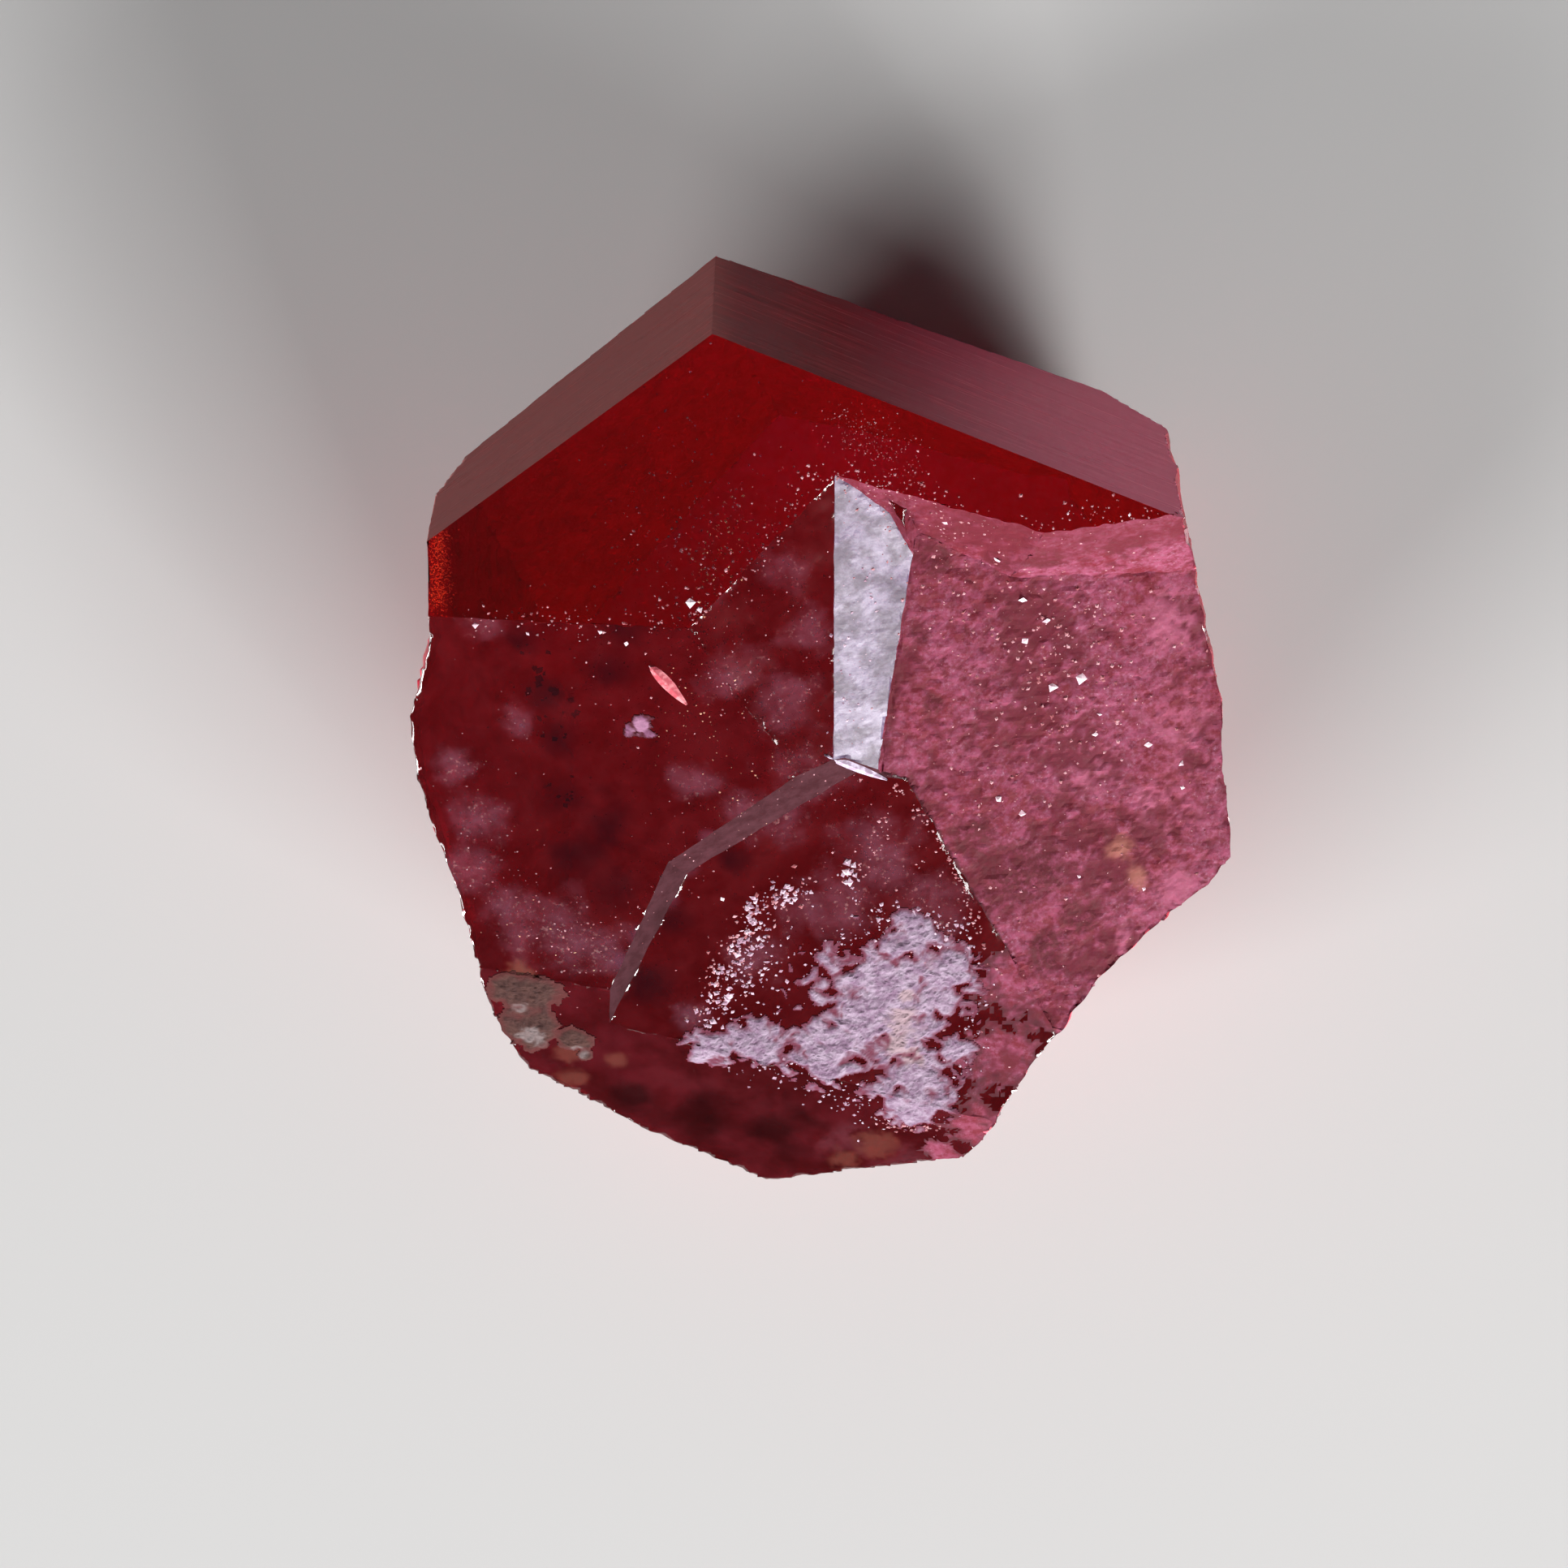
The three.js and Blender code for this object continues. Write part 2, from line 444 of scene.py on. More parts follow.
def face_material():
    """The natural end face: glass with a faint haze."""
    n = beryl("beryl_face", 1.0)
    haze = n.noise(0.9 * MM, 6, 0.6)
    # The end face darkens towards the left: painted shade.
    left_shade = n.ramp(n.along(0), -4.4 * MM, 2.0 * MM)
    tint = n.mix(n.ramp(haze, 0.35, 0.65), (0.80, 0.60, 0.62), (1.0, 0.95, 0.95))
    tint = n.mix(left_shade, (0.26, 0.10, 0.10), tint)
    # A thin strip at the far left edge turns orange: a painted glow of light coming through that edge.
    tint = n.mix(n.ramp(n.along(0), -3.80 * MM, -3.60 * MM, 1.0, 0.0), tint, (1.0, 0.7, 0.5))
    n.set(Base_Color=tint, Roughness=0.04)
    n.bump(n.noise(0.12 * MM, 3), 0.02, 0.01 * MM)
    return n.material


def striated_material():
    """The prism faces: brownish satin glass with growth lines round the prism."""
    n = beryl("beryl_striated", 0.25)
    lines = n.noise(1 * MM, 5, 0.75, place=n.stretched(0.5, 0.5, 13))
    tint = n.mix(n.ramp(lines, 0.35, 0.65), (0.15, 0.006, 0.012), (0.36, 0.040, 0.055))
    tint = n.mix(n.ramp(n.noise(0.8 * MM, 3), 0.4, 0.6), tint, (0.21, 0.028, 0.038))
    # Towards the left the prism faces turn brown-grey: a painted reflection of the floor.
    tint = n.mix(n.ramp(n.along(0), -1.2 * MM, -0.8 * MM, 0.7, 0.0), tint, (0.40, 0.11, 0.10))
    n.set(Base_Color=n.mix(n.ramp(n.along(0), -0.2 * MM, 3.4 * MM), tint, (0.98, 0.20, 0.34)))
    n.set(Roughness=n.ramp(lines, 0.3, 0.7, 0.12, 0.3), Specular_IOR_Level=0.0)
    n.bump(lines, 0.2, 0.02 * MM)
    return n.material


def clear_break_material():
    """Breaks that let one see in: glass, a little frosted, clouded and speckled, dark where the marks say."""
    n = beryl("beryl_clear_break", 0.86)
    swirl = n.noise(0.40 * MM, 8, 0.62, 0.3)
    fine = n.noise(0.06 * MM, 5, 0.7)
    tint = n.mix(n.ramp(swirl, 0.30, 0.70), (0.115, 0.003, 0.006), (0.19, 0.009, 0.016))
    tint = n.mix(n.ramp(n.attribute("dark"), 0.0, 1.2, 0.0, 0.8), tint, (0.030, 0.003, 0.010))
    wisps = n.noise(0.22 * MM, 8, 0.72, 0.6)
    cloud = n.product(n.ramp(n.attribute("cloud"), 0.0, 1.0, 0.0, 0.75), n.ramp(wisps, 0.30, 0.70, 0.3, 1.0))
    tint = n.mix(cloud, tint, (0.50, 0.21, 0.32))
    speckled = n.product(n.ramp(n.attribute("cloud"), 0.0, 0.9), n.ramp(fine, 0.57, 0.66))
    tint = n.mix(speckled, tint, (0.70, 0.40, 0.42))
    tint = n.mix(n.ramp(n.attribute("band"), 0.0, 0.9, 0.0, 0.6), tint, (0.34, 0.14, 0.24))
    tint = n.mix(n.ramp(n.attribute("rusty"), 0.0, 0.6, 0.0, 0.8), tint, (0.50, 0.22, 0.16))
    n.set(Base_Color=tint, Roughness=n.ramp(swirl, 0.3, 0.7, 0.06, 0.16), Specular_IOR_Level=0.2)
    n.bump(n.noise(0.08 * MM, 4, 0.6), 0.05, 0.02 * MM)
    return n.material


def ledge_material():
    """The steep ledges of the lower floor: a soft lavender frost that hardly mirrors."""
    n = beryl("beryl_ledge", 0.2)
    mottle = n.noise(0.16 * MM, 7, 0.68)
    tint = n.mix(n.ramp(mottle, 0.34, 0.66), (0.030, 0.003, 0.006), (0.052, 0.012, 0.018))
    tint = n.mix(n.ramp(n.attribute("dark"), 0.0, 0.8, 0.0, 0.6), tint, (0.020, 0.001, 0.003))
    n.set(Base_Color=tint, Roughness=0.8, Specular_IOR_Level=0.0)
    n.bump(n.noise(0.05 * MM, 6, 0.7), 0.1, 0.02 * MM)
    return n.material


def rim_material():
    """The rim below the lower floor: glossy, dark in the middle, salmon along the edges."""
    n = beryl("beryl_rim", 0.86)
    swirl = n.noise(0.6 * MM, 6, 0.6)
    tint = n.mix(n.ramp(swirl, 0.36, 0.64), (0.10, 0.005, 0.008), (0.20, 0.016, 0.028))
    tint = n.mix(n.ramp(n.attribute("dark"), 0.0, 0.9, 0.0, 0.85), tint, (0.030, 0.001, 0.002))
    cloud = n.product(n.ramp(n.attribute("cloud"), 0.0, 1.0), n.ramp(swirl, 0.34, 0.62))
    tint = n.mix(cloud, tint, (0.34, 0.10, 0.14))
    tint = n.mix(n.ramp(n.attribute("rusty"), 0.0, 0.7, 0.0, 0.8), tint, (0.36, 0.12, 0.09))
    n.set(Base_Color=tint, Roughness=n.ramp(swirl, 0.3, 0.7, 0.08, 0.16), Specular_IOR_Level=0.1)
    n.bump(n.noise(0.08 * MM, 5, 0.7), 0.03, 0.02 * MM)
    return n.material


def sugary_material():
    """Breaks that look like sugar: milky pink plates with deep red between them."""
    n = beryl("beryl_sugary", 0.2)
    mottle = n.noise(0.11 * MM, 7, 0.68)
    fine = n.noise(0.045 * MM, 6, 0.7)
    broad = n.noise(0.6 * MM, 5, 0.6)
    plate = n.mix(n.ramp(mottle, 0.36, 0.64), (0.12, 0.003, 0.016), (0.24, 0.045, 0.092))
    plate = n.mix(n.ramp(fine, 0.45, 0.68, 0.0, 0.75), plate, (0.27, 0.085, 0.145))
    plate = n.mix(n.ramp(fine, 0.64, 0.72), plate, (0.44, 0.25, 0.34))
    plate = n.mix(n.ramp(n.attribute("pale"), 0.0, 0.8, 0.0, 0.6), plate, (0.35, 0.085, 0.15))
    crimson = n.product(n.ramp(broad, 0.42, 0.58, 0.1, 0.95), n.ramp(mottle, 0.38, 0.58, 1.0, 0.3))
    tint = n.mix(crimson, plate, (0.125, 0.002, 0.011))
    # Deepest in the gaps the tint turns darkest: the deep red between the plates, with painted shade in the hollows.
    tint = n.mix(n.ramp(n.attribute("pit"), 0.35, 0.9, 0.0, 0.85), tint, (0.085, 0.001, 0.008))
    dark = n.product(n.ramp(n.attribute("dark"), 0.0, 0.6, 0.0, 0.95), n.ramp(mottle, 0.44, 0.66, 1.0, 0.35))
    tint = n.mix(dark, tint, (0.075, 0.002, 0.008))
    # Darker towards the top, where the steep steps face the lamps: painted shade.
    tint = n.mix(n.ramp(n.along(2), 4.35 * MM, 4.64 * MM, 0.0, 0.6), tint, (0.105, 0.003, 0.012))
    tint = n.mix(n.attribute("fade"), tint, (0.05, 0.003, 0.008))
    tint = n.mix(n.ramp(n.attribute("rusty"), 0.0, 0.9, 0.0, 0.55), tint, (0.40, 0.15, 0.11))
    n.set(Base_Color=tint, Roughness=n.ramp(mottle, 0.3, 0.7, 0.7, 0.9), Specular_IOR_Level=0.1)
    n.bump(n.noise(0.045 * MM, 6, 0.75), 0.12, 0.02 * MM)
    return n.material


def bright_step_material():
    """The narrow step that mirrors the light: silvery lavender, finely granular."""
    n = beryl("beryl_bright_step", 0.4)
    mottle = n.noise(0.24 * MM, 7, 0.62)
    n.set(Base_Color=n.mix(n.ramp(mottle, 0.36, 0.64), (0.05, 0.016, 0.065), (0.17, 0.115, 0.235)))
    n.set(Roughness=n.ramp(mottle, 0.35, 0.65, 0.50, 0.36))
    n.bump(n.noise(0.06 * MM, 6, 0.75), 0.16, 0.02 * MM)
    return n.material


def wall_material():
    """The broken sides: half clear, pink and red."""
    n = beryl("beryl_wall", 0.55)
    mottle = n.noise(0.25 * MM, 8, 0.7)
    tint = n.mix(n.ramp(mottle, 0.36, 0.64), (0.68, 0.02, 0.05), (0.84, 0.10, 0.16))
    # Darker red where the grains meet, in the hollows: painted shade.
    tint = n.mix(n.ramp(n.attribute("pit"), 0.4, 1.0), tint, (0.45, 0.01, 0.04))
    n.set(Base_Color=tint, Roughness=n.ramp(mottle, 0.3, 0.7, 0.22, 0.45), Specular_IOR_Level=0.2)
    n.bump(n.noise(0.05 * MM, 6, 0.7), 0.35, 0.03 * MM)
    return n.material


def back_material():
    """The breaks around the root: milky pink, so that they send light back up through the crystal."""
    n = beryl("beryl_back", 0.1)
    mottle = n.noise(0.3 * MM, 7, 0.65)
    tint = n.mix(n.ramp(mottle, 0.35, 0.65), (0.72, 0.030, 0.07), (0.86, 0.090, 0.15))
    n.set(Base_Color=tint, Roughness=n.ramp(mottle, 0.3, 0.7, 0.3, 0.5), Specular_IOR_Level=0.2)
    n.bump(n.noise(0.06 * MM, 6, 0.7), 0.5, 0.03 * MM)
    return n.material


def root_material():
    """The root, where the crystal parted from the rock: a milky skin that light does not pass."""
    n = beryl("beryl_root", 0.0)
    mottle = n.noise(0.3 * MM, 7, 0.65)
    tint = n.mix(n.ramp(mottle, 0.35, 0.65), (0.94, 0.50, 0.52), (0.98, 0.80, 0.80))
    n.set(Base_Color=tint, Roughness=0.6)
    return n.material


FINISHES = (
    face_material, striated_material, clear_break_material, ledge_material, rim_material, sugary_material,
    bright_step_material, wall_material, back_material, root_material,
)
FINISH_OF_FACET = {
    "end": face_material, "left_prism": striated_material, "right_prism": striated_material,
    "left_shoulder": clear_break_material, "middle_shoulder": clear_break_material,
    "upper_step": sugary_material, "right_step": sugary_material, "right_floor": sugary_material,
    "right_floor_edge": sugary_material, "bright_step": bright_step_material,
    "bright_step_cap": sugary_material, "lower_floor": clear_break_material,
    "lower_step_top": ledge_material, "lower_step_middle": ledge_material,
    "lower_step_left": ledge_material, "lower_rim": rim_material,
    "wall": wall_material, "break": back_material, "root": root_material,
}
# Facets whose small faces are shaded smooth, so that they look conchoidal and not granular.
SMOOTH_FACETS = (
    "left_shoulder", "middle_shoulder", "lower_floor", "lower_rim", "left_prism", "right_prism",
    "lower_step_top", "lower_step_middle", "lower_step_left",
)


def lies_in_sugar(p, sugary):
    """How far inside the sugar on the lower floor a point is, with a ragged end."""
    return inside_blobs(p, sugary, 0.6, 0.12 * MM)


def add_fade(bm, sugary):
    """Writes 1 on the vertices where the sugar on the lower floor ends, and less towards its middle."""
    facet = bm.faces.layers.int["facet"]
    fade = bm.verts.layers.float.new("fade")
    for vert in bm.verts:
        if {FACET_NAMES[face[facet]] for face in vert.link_faces} & {"lower_floor", "lower_rim"}:
            vert[fade] = min(1.0, max(0.0, 1 - lies_in_sugar(vert.co, sugary) / 0.5))


def finish_faces(bm, sugary):
    """Gives every face its material, and keeps the edges between facets sharp."""
    facet = bm.faces.layers.int["facet"]
    for face in bm.faces:
        name = FACET_NAMES[face[facet]]
        finish = FINISH_OF_FACET[name]
        middle = face.calc_center_median()
        if name in ("lower_floor", "lower_rim") and lies_in_sugar(middle, sugary) > 0:
            finish = sugary_material
        face.material_index = FINISHES.index(finish)
        face.smooth = name in SMOOTH_FACETS
    for edge in bm.edges:
        edge.smooth = len({face[facet] for face in edge.link_faces}) == 1


def make_crystal():
    bm = divided_crystal()
    plain = BVHTree.FromBMesh(bm)
    shaped_crystal(bm)
    add_mark(bm, "dark", placed_blobs(plain, DARK_BLOBS), 0.45, 0.45 * MM)
    add_mark(bm, "rusty", placed_blobs(plain, RUSTY_BLOBS), 0.4, 0.12 * MM)
    add_mark(bm, "band", placed_blobs(plain, BAND_BLOBS), 0.25, 0.3 * MM)
    add_mark(bm, "pale", placed_blobs(plain, PALE_BLOBS), 0.5, 0.3 * MM)
    add_mark(bm, "cloud", placed_blobs(plain, CLOUD_BLOBS), 0.5, 0.35 * MM)
    sugary = placed_blobs(plain, SUGAR_BLOBS)
    add_fade(bm, sugary)
    finish_faces(bm, sugary)
    bm.normal_update()
    mesh = bpy.data.meshes.new("red_beryl")
    bm.to_mesh(mesh)
    crystal = bpy.data.objects.new("red_beryl", mesh)
    bpy.context.scene.collection.objects.link(crystal)
    for finish in FINISHES:
        mesh.materials.append(finish())
    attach(crystal, "root")
    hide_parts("crystal")
    return bm


# Crusts

def crust_patch(source, blobs, ragged, size):
    """A finer copy of the crystal's faces inside the blobs, with how far inside they are on each vertex."""
    patch = source.copy()
    outside = [face for face in patch.faces if inside_blobs(face.calc_center_median(), blobs, 0, size) < -0.35]
    bmesh.ops.delete(patch, geom=outside, context="FACES")
    bmesh.ops.subdivide_edges(patch, edges=patch.edges, cuts=1)
    bmesh.ops.triangulate(patch, faces=patch.faces)
    share = patch.verts.layers.float.new("share")
    for vert in patch.verts:
        vert[share] = inside_blobs(vert.co, blobs, ragged, size)
    bare = [face for face in patch.faces if sum(vert[share] for vert in face.verts) < 0]
    bmesh.ops.delete(patch, geom=bare, context="FACES")
    return patch


def make_crust(name, source, blobs, streak, thickness, ragged, size, finish):
    """A thin rough skin on the crystal: proud in its blobs, feathering out at their edges, warm in its streak."""
    patch = crust_patch(source, blobs, ragged, size)
    share = patch.verts.layers.float["share"]
    patch.normal_update()
    points, sides, shares, streaks = [], [], [], []
    index = {}
    for vert in patch.verts:
        index[vert] = len(points)
        rise = min(1.0, max(0.0, vert[share] / 0.7))
        bumps = 0.5 + 0.3 * swell(vert.co, 0.16 * MM) + 0.3 * swell(vert.co, 0.05 * MM)
        points.append(vert.co + vert.normal * (0.004 * MM + thickness * rise * max(0.1, bumps)))
        shares.append(rise)
        streaks.append(max(0.0, inside_blobs(vert.co, streak, 0.5, 0.12 * MM)))
    count = len(points)
    for vert in patch.verts:
        points.append(vert.co - vert.normal * 0.03 * MM)
        shares.append(0.0)
    for face in patch.faces:
        top = [index[vert] for vert in face.verts]
        sides.append(top)
        sides.append([corner + count for corner in reversed(top)])
    for edge in patch.edges:
        if len(edge.link_faces) != 1:
            continue
        loop = edge.link_loops[0]
        a, b = index[loop.vert], index[loop.link_loop_next.vert]
        sides.append([b, a, a + count, b + count])
    patch.free()
    crust = make_piece(name, points, sides, finish)
    for key, values in (("share", shares), ("streak", streaks + [0.0] * count)):
        layer = crust.data.attributes.new(key, "FLOAT", "POINT")
        layer.data.foreach_set("value", values)
    return crust


def make_piece(name, points, sides, finish):
    """A mesh object that rides with the crystal."""
    mesh = bpy.data.meshes.new(name)
    mesh.from_pydata([tuple(point) for point in points], [], sides)
    mesh.update()
    piece = bpy.data.objects.new(name, mesh)
    bpy.context.scene.collection.objects.link(piece)
    mesh.materials.append(finish)
    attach(piece, "root")
    return piece


def crust_material(name, edge, deep, pale, warm):
    """Opaque granular crust: deep in colour at its thin edges, pale where it is thick, warm here and there."""
    n = Nodes(name)
    mottle = n.noise(0.12 * MM, 8, 0.7)
    tint = n.mix(n.ramp(mottle, 0.35, 0.65), deep, pale)
    tint = n.mix(n.ramp(n.attribute("streak"), 0.0, 0.6), tint, warm)
    tint = n.mix(n.ramp(n.attribute("share"), 0.0, 0.65), edge, tint)
    n.set(Base_Color=tint, Roughness=n.ramp(mottle, 0.3, 0.7, 0.6, 0.85), Specular_IOR_Level=0.1)
    n.bump(n.noise(0.03 * MM, 6, 0.75), 0.4, 0.02 * MM)
    return n.material


# Specks and flakes

CHIP_FACES = ((0, 2, 4), (2, 1, 4), (1, 3, 4), (3, 0, 4), (2, 0, 5), (1, 2, 5), (3, 1, 5), (0, 3, 5))


class Chips:
    """Many small angular chips joined in one mesh."""

    def __init__(self, seed):
        self.random = random.Random(seed)
        self.points = []
        self.faces = []

    def add(self, place, normal, size, flatness):
        """One chip about size across, lying in the plane of the normal, that much thinner than wide."""
        draw = self.random
        turn = normal.to_track_quat("Z", "Y") @ Quaternion((0, 0, 1), draw.uniform(0, math.tau))
        turn = turn @ Quaternion((1, 0, 0), draw.gauss(0, 0.35))
        start = len(self.points)
        for axis in ((1, 0, 0), (-1, 0, 0), (0, 1, 0), (0, -1, 0), (0, 0, 1), (0, 0, -1)):
            corner = Vector(axis) * size / 2 * draw.uniform(0.55, 1.35)
            corner.z *= flatness
            self.points.append(place + turn @ corner)
        self.faces += [[start + corner for corner in face] for face in CHIP_FACES]

    def finish(self, name, material, slot):
        return make_piece(name, self.points, self.faces, material)


# Where the small chips lie: the photo pixels of a line or a cloud, its spread in pixels, how many, their sizes in
# millimetres, and how deep under the surface the deepest lie.
VEIL_LINES = (
    (((955, 925), (1005, 955), (1060, 985)), 24, 420, (0.010, 0.032), 0.2),
    (((930, 850), (965, 885), (985, 930)), 24, 260, (0.010, 0.032), 0.3),
    (((840, 790), (880, 820), (930, 850)), 30, 300, (0.010, 0.032), 0.3),
    (((985, 730), (1000, 790), (1005, 860)), 16, 160, (0.010, 0.032), 0.3),
    (((570, 950), (590, 1010), (600, 1070), (630, 1120)), 22, 360, (0.010, 0.030), 0.2),
    (((625, 850), (645, 895), (650, 940)), 14, 110, (0.010, 0.030), 0.3),
    (((630, 1100), (690, 1150), (750, 1200)), 28, 420, (0.010, 0.032), 0.15),
    (((720, 840), (760, 880), (800, 940)), 34, 140, (0.010, 0.030), 0.6),
    (((920, 990), (860, 1040), (800, 1110), (755, 1180)), 26, 460, (0.010, 0.030), 0.15),
    (((965, 1130), (930, 1180), (880, 1240)), 34, 320, (0.010, 0.032), 0.15),
    (((1050, 1010), (1085, 1070), (1130, 1110)), 36, 360, (0.010, 0.032), 0.15),
    (((1030, 520), (1062, 540), (1110, 560)), 18, 260, (0.006, 0.016), 0.05),
    (((1060, 590), (1140, 610)), 24, 90, (0.008, 0.028), 0.05),
    (((820, 600), (940, 640)), 70, 260, (0.010, 0.030), 1.2),
)
FROST_LINES = (
    (((585, 768), (660, 762), (740, 776), (800, 765), (850, 745), (900, 722), (930, 690)), 12, 130, (0.012, 0.04), 0.05),
    (((930, 690), (965, 640), (1000, 585), (1060, 600), (1110, 640)), 12, 80, (0.010, 0.04), 0.05),
    (((1000, 578), (1060, 590), (1120, 600), (1160, 612)), 11, 60, (0.010, 0.04), 0.04),
    (((1140, 640), (1210, 648), (1255, 668), (1310, 640), (1390, 632), (1462, 632)), 10, 110, (0.010, 0.04), 0.03),
    (((1105, 965), (1150, 1030), (1190, 1100), (1205, 1150)), 4, 70, (0.02, 0.05), 0.03),
    (((1105, 965), (1082, 1040), (1060, 1080)), 5, 35, (0.02, 0.05), 0.03),
    (((1085, 1384), (1120, 1388), (1155, 1390)), 4, 60, (0.02, 0.05), 0.02),
    (((870, 1235), (900, 1180), (930, 1130), (960, 1105), (990, 1098)), 16, 120, (0.02, 0.06), 0.02),
)
SPECK_CLOUDS = (
    ((880, 820), 75, 220, (0.012, 0.045), 0.5),
    ((860, 720), 50, 200, (0.010, 0.04), 0.2),
    ((960, 690), 50, 120, (0.010, 0.04), 0.2),
    ((620, 800), 45, 30, (0.012, 0.035), 0.4),
    ((610, 1030), 50, 45, (0.015, 0.045), 0.3),
    ((820, 1010), 80, 90, (0.012, 0.04), 0.6),
    ((960, 1000), 70, 60, (0.012, 0.04), 0.5),
    ((700, 1210), 50, 60, (0.015, 0.05), 0.1),
    ((1050, 1070), 50, 50, (0.02, 0.06), 0.1),
    ((1290, 790), 55, 130, (0.012, 0.06), 0.02),
    ((1320, 850), 60, 130, (0.012, 0.06), 0.02),
    ((1400, 760), 80, 120, (0.012, 0.05), 0.02),
    ((1180, 700), 45, 120, (0.012, 0.05), 0.02),
    ((1200, 950), 90, 60, (0.015, 0.05), 0.02),
    ((1350, 1000), 80, 60, (0.015, 0.05), 0.02),
    ((1270, 1180), 60, 40, (0.015, 0.05), 0.02),
    ((1150, 1160), 35, 50, (0.02, 0.06), 0.02),
)


def point_along(line, share):
    """The photo pixel that far along a line of pixels, 0 at its start and 1 at its end."""
    spans = [math.dist(a, b) for a, b in zip(line, line[1:])]
    left = share * sum(spans)
    for a, b, span in zip(line, line[1:], spans):
        if left <= span:
            return a[0] + (b[0] - a[0]) * left / span, a[1] + (b[1] - a[1]) * left / span
        left -= span
    return line[-1]


def make_specks(tree, finish):
    """The pale specks: frost along the edges of the breaks, and flecks scattered on and under the surface."""
    chips = Chips(seed=11)
    draw = chips.random
    for line, spread, count, sizes, depth in FROST_LINES + VEIL_LINES:
        for _ in range(count):
            px, py = point_along(line, draw.random())
            sow(chips, tree, px, py, spread, sizes, depth)
    for (px, py), spread, count, sizes, depth in SPECK_CLOUDS:
        for _ in range(count):
            sow(chips, tree, px, py, spread, sizes, depth)
    return chips.finish("pale_specks", finish, "veil")


# Where the tan specks lie, in the same form: they hang in strings under the shoulders.
TAN_LINES = (
    (((850, 800), (868, 870), (876, 940), (896, 1000)), 24, 260, (0.010, 0.032), 0.12),
    (((905, 640), (880, 690), (868, 745)), 18, 110, (0.010, 0.032), 0.12),
    (((930, 880), (950, 930), (930, 990)), 18, 90, (0.010, 0.030), 0.12),
    (((820, 840), (835, 900), (815, 950)), 14, 60, (0.010, 0.030), 0.12),
    (((600, 960), (610, 1010), (640, 1060)), 26, 60, (0.010, 0.028), 0.12),
    (((640, 1120), (690, 1150), (735, 1190)), 22, 90, (0.010, 0.034), 0.08),
)


def make_tan_specks(tree, finish):
    """Small tan grains, strung out just under the shoulders."""
    chips = Chips(seed=19)
    for line, spread, count, sizes, depth in TAN_LINES:
        for _ in range(count):
            px, py = point_along(line, chips.random.random())
            sow(chips, tree, px, py, spread, sizes, depth)
    return chips.finish("tan_specks", finish, "veil")


# Where the white granules lie, in the same form: they trail up and left from the white crust.
GRANULE_LINES = (
    (((868, 1262), (885, 1235), (905, 1190), (925, 1160), (930, 1125)), 11, 150, (0.02, 0.09), 0.02),
    (((925, 1120), (955, 1104), (985, 1096), (1000, 1105)), 8, 60, (0.02, 0.08), 0.02),
    (((1040, 1072), (1055, 1085)), 7, 18, (0.03, 0.09), 0.02),
    (((1080, 1160), (1110, 1135), (1150, 1150), (1195, 1150), (1190, 1190)), 11, 90, (0.02, 0.08), 0.02),
    (((900, 1250), (930, 1220), (950, 1180), (965, 1160)), 18, 70, (0.02, 0.07), 0.02),
    (((960, 1320), (1000, 1325), (1030, 1350), (1080, 1380)), 14, 60, (0.02, 0.06), 0.02),
    (((1000, 1200), (1040, 1160), (1100, 1130), (1170, 1150), (1200, 1210), (1200, 1290)), 14, 200, (0.012, 0.05), 0.02),
    (((1190, 1300), (1150, 1370), (1090, 1370), (1000, 1320), (900, 1310)), 12, 160, (0.012, 0.045), 0.02),
    (((1062, 690), (1055, 780), (1045, 860), (1050, 915)), 13, 60, (0.010, 0.045), 0.02),
)


def make_granules(tree, finish):
    """White granules, larger than the specks, that lie on the lower floor."""
    chips = Chips(seed=13)
    for line, spread, count, sizes, depth in GRANULE_LINES:
        for _ in range(count):
            px, py = point_along(line, chips.random.random())
            sow(chips, tree, px, py, spread, sizes, depth)
    return chips.finish("white_granules", finish, "crust")


# The least depth of a buried chip as a share of the greatest.
LEAST_DEPTH = 0.35


def sow(chips, tree, px, py, spread, sizes, depth, least=0.0):
    draw = chips.random
    point, normal = on_crystal(tree, px + draw.gauss(0, spread), py + draw.gauss(0, spread))
    size = sizes[0] + (sizes[1] - sizes[0]) * draw.random() ** 2
    if point is None or normal.z < 0.5:
        return
    sunk = least + (depth - least) * draw.random() ** 2 if depth > 0.06 else 0.0
    chips.add(point - normal * sunk * MM, normal, size * MM, 0.45)


# Two thin slivers: the photo pixels of their ends, and their widths and thickness in millimetres.
FLAKE_ENDS = ((801, 820), (846, 868))
FLAKE_WIDTH = 0.12
TAIL_ENDS = ((1016, 930), (1093, 961))
TAIL_WIDTH = 0.09
SLIVER_THICKNESS = 0.02
SLIVER_STEPS = 12


def make_sliver(name, tree, ends, width, finish):
    """A thin leaf of beryl that lies on the surface, raised along its middle."""
    start, normal = on_crystal(tree, *ends[0])
    end, _ = on_crystal(tree, *ends[1])
    length = end - start
    side = normal.cross(length).normalized()
    points, faces = [], []
    for i in range(SLIVER_STEPS + 1):
        share = i / SLIVER_STEPS
        half = width / 2 * MM * math.sin(math.pi * (0.03 + 0.94 * share ** 0.8)) ** 0.7
        middle = start + length * share
        rise = normal * SLIVER_THICKNESS * MM * (1.6 - share)
        points += [middle - side * half, middle + rise, middle + side * half, middle - rise]
    for i in range(SLIVER_STEPS):
        for j in range(4):
            a, b = i * 4 + j, i * 4 + (j + 1) % 4
            faces.append([a, b, b + 4, a + 4])
    last = SLIVER_STEPS * 4
    faces += [[3, 2, 1, 0], [last, last + 1, last + 2, last + 3]]
    return make_piece(name, points, faces, finish)
